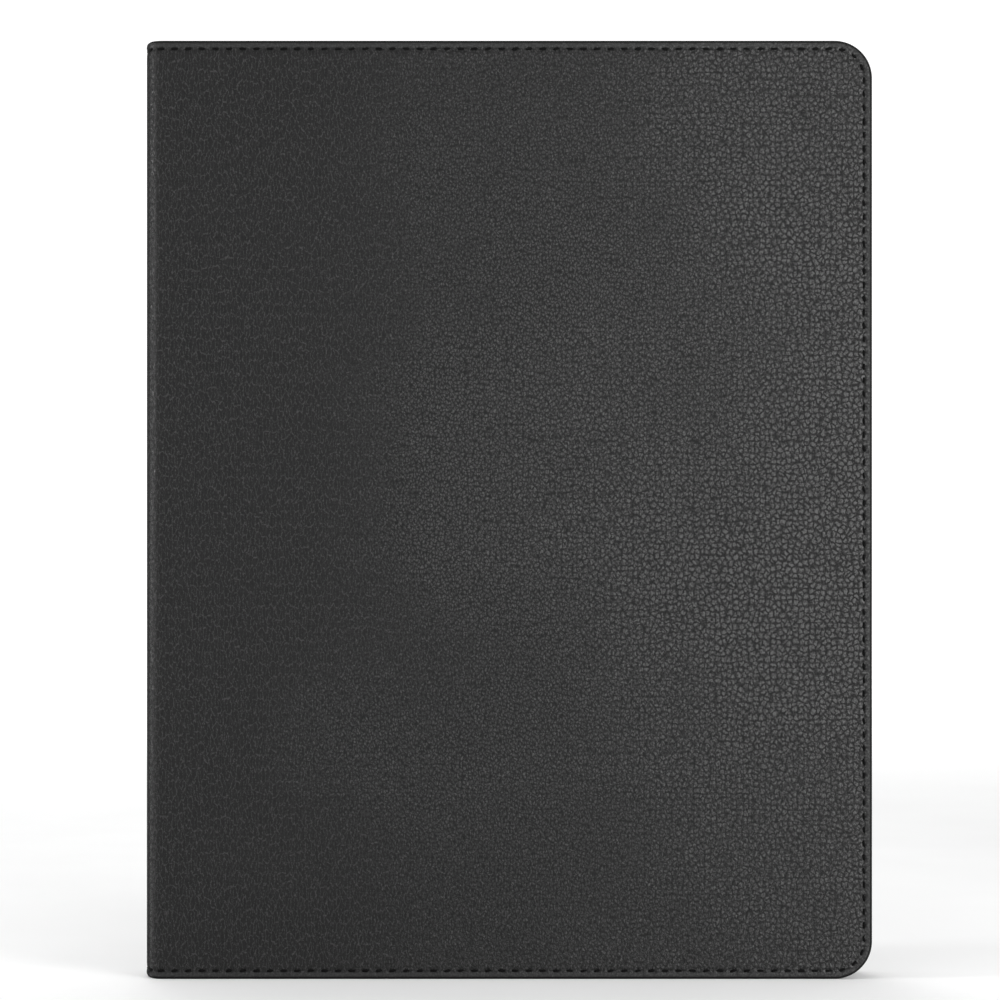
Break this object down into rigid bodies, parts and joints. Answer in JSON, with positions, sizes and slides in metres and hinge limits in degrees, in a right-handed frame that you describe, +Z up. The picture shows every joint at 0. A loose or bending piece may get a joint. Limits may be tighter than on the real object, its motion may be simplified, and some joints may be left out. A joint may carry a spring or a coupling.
{
  "type": "tablet case",
  "caption": "Upright book-style tablet case in black pebble-grain leather, with stitched covers, a rounded spine, a snap-in tray, button covers and a fold-out stand.",
  "frame": {"origin": "centre of the closed case's footprint, on the surface that it stands on", "axes": "+X from the spine to the open edge, +Y from the front cover to the back cover, +Z up along the spine"},
  "size_m": [0.225, 0.016, 0.29],
  "materials": {
    "leather": "black pebble-grain synthetic leather, satin",
    "lining": "brushed microfibre, matt dark grey",
    "board": "pressed grey bookbinding board",
    "thread": "twisted black polyester sewing thread",
    "tray": "moulded soft plastic, fine matt texture",
    "pad": "thin microfibre pad",
    "adhesive": "double-sided bonding film",
    "magnet": "nickel-plated magnet",
    "steel": "zinc-plated sheet steel",
    "button": "moulded hard plastic, satin"
  },
  "bodies": {
    "back_cover": {"back_leather": "leather", "back_board": "board", "back_lining": "lining", "back_seam_thread": "thread", "back_fold_leather": "leather", "back_fold_lining": "lining", "tray_bond": "adhesive", "tray": "tray", "tray_pad": "pad", "catch_plates": "steel", "crease_leather": "leather", "crease_lining": "lining"},
    "spine": {"spine_leather": "leather", "spine_board": "board", "spine_lining": "lining", "spine_seam_thread": "thread", "front_fold_leather": "leather", "front_fold_lining": "lining"},
    "front_cover": {"front_leather": "leather", "front_board": "board", "front_lining": "lining", "front_seam_thread": "thread", "closure_magnets": "magnet", "wake_magnet": "magnet"},
    "stand_flap": {"flap_leather": "leather", "flap_board": "board", "flap_lining": "lining", "flap_seam_thread": "thread", "flap_magnets": "magnet"},
    "power_button": {"power_button": "button"},
    "volume_up_button": {"volume_up_button": "button"},
    "volume_down_button": {"volume_down_button": "button"}
  },
  "joints": [
    {"name": "spine_fold", "type": "hinge", "parent": "back_cover", "child": "spine", "pos_m": [-0.10929, 0.00738, 0], "axis": [0, 0, -1], "range_deg": [0, 110], "deforming": ["back_fold_leather", "back_fold_lining"]},
    {"name": "front_fold", "type": "hinge", "parent": "spine", "child": "front_cover", "pos_m": [-0.10929, -0.00738, 0], "axis": [0, 0, -1], "range_deg": [0, 180], "deforming": ["front_fold_leather", "front_fold_lining"]},
    {"name": "stand_fold", "type": "hinge", "parent": "back_cover", "child": "stand_flap", "pos_m": [0, 0.0075, 0], "axis": [0, 0, 1], "range_deg": [0, 130], "deforming": ["crease_leather", "crease_lining"]},
    {"name": "power_button_press", "type": "slide", "parent": "back_cover", "child": "power_button", "axis": [0, 0, -1], "range_m": [0, 0.0006], "stiffness_N_per_m": 600},
    {"name": "volume_up_button_press", "type": "slide", "parent": "back_cover", "child": "volume_up_button", "axis": [-1, 0, 0], "range_m": [0, 0.0006], "stiffness_N_per_m": 600},
    {"name": "volume_down_button_press", "type": "slide", "parent": "back_cover", "child": "volume_down_button", "axis": [-1, 0, 0], "range_m": [0, 0.0006], "stiffness_N_per_m": 600}
  ]
}
